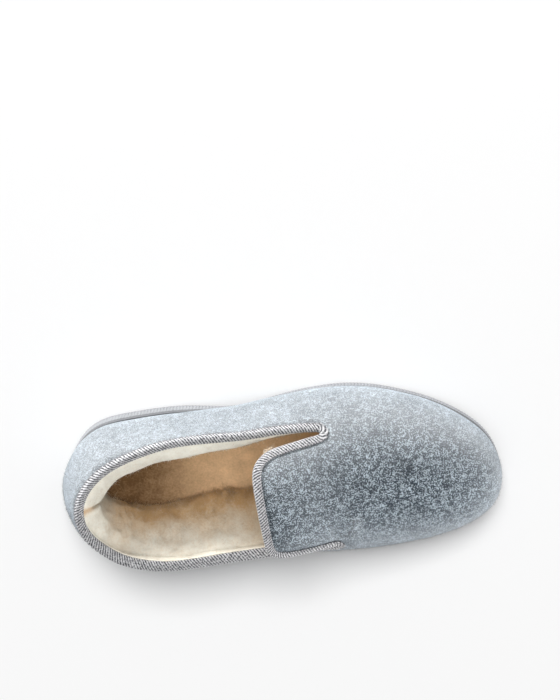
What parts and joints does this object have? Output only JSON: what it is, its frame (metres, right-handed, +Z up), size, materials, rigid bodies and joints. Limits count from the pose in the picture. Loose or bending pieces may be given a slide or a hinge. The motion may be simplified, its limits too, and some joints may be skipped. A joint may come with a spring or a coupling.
{
  "type": "house slipper",
  "caption": "Left closed-heel house slipper of thick felt with a tongue flap between side slits, a bound edge, a wool insole and a thin flexible sole.",
  "frame": {"origin": "on the floor plane under the middle of the shoe's plan box", "axes": "+X from heel to toe, +Y to the outer (lateral) side of the left foot, +Z up"},
  "size_m": [0.2817, 0.1097, 0.0814],
  "materials": {
    "sole_rubber": "matt grey, fine texture on the side",
    "marl_felt": "thick felt of dark and pale grey fibres with a short nap",
    "twill_tape": "light grey twill with diagonal ribs",
    "wool_insole": "cream wool pile"
  },
  "bodies": {
    "root": {"outsole": "sole_rubber", "upper": "marl_felt", "edge_binding": "twill_tape", "insole": "wool_insole"}
  },
  "joints": []
}
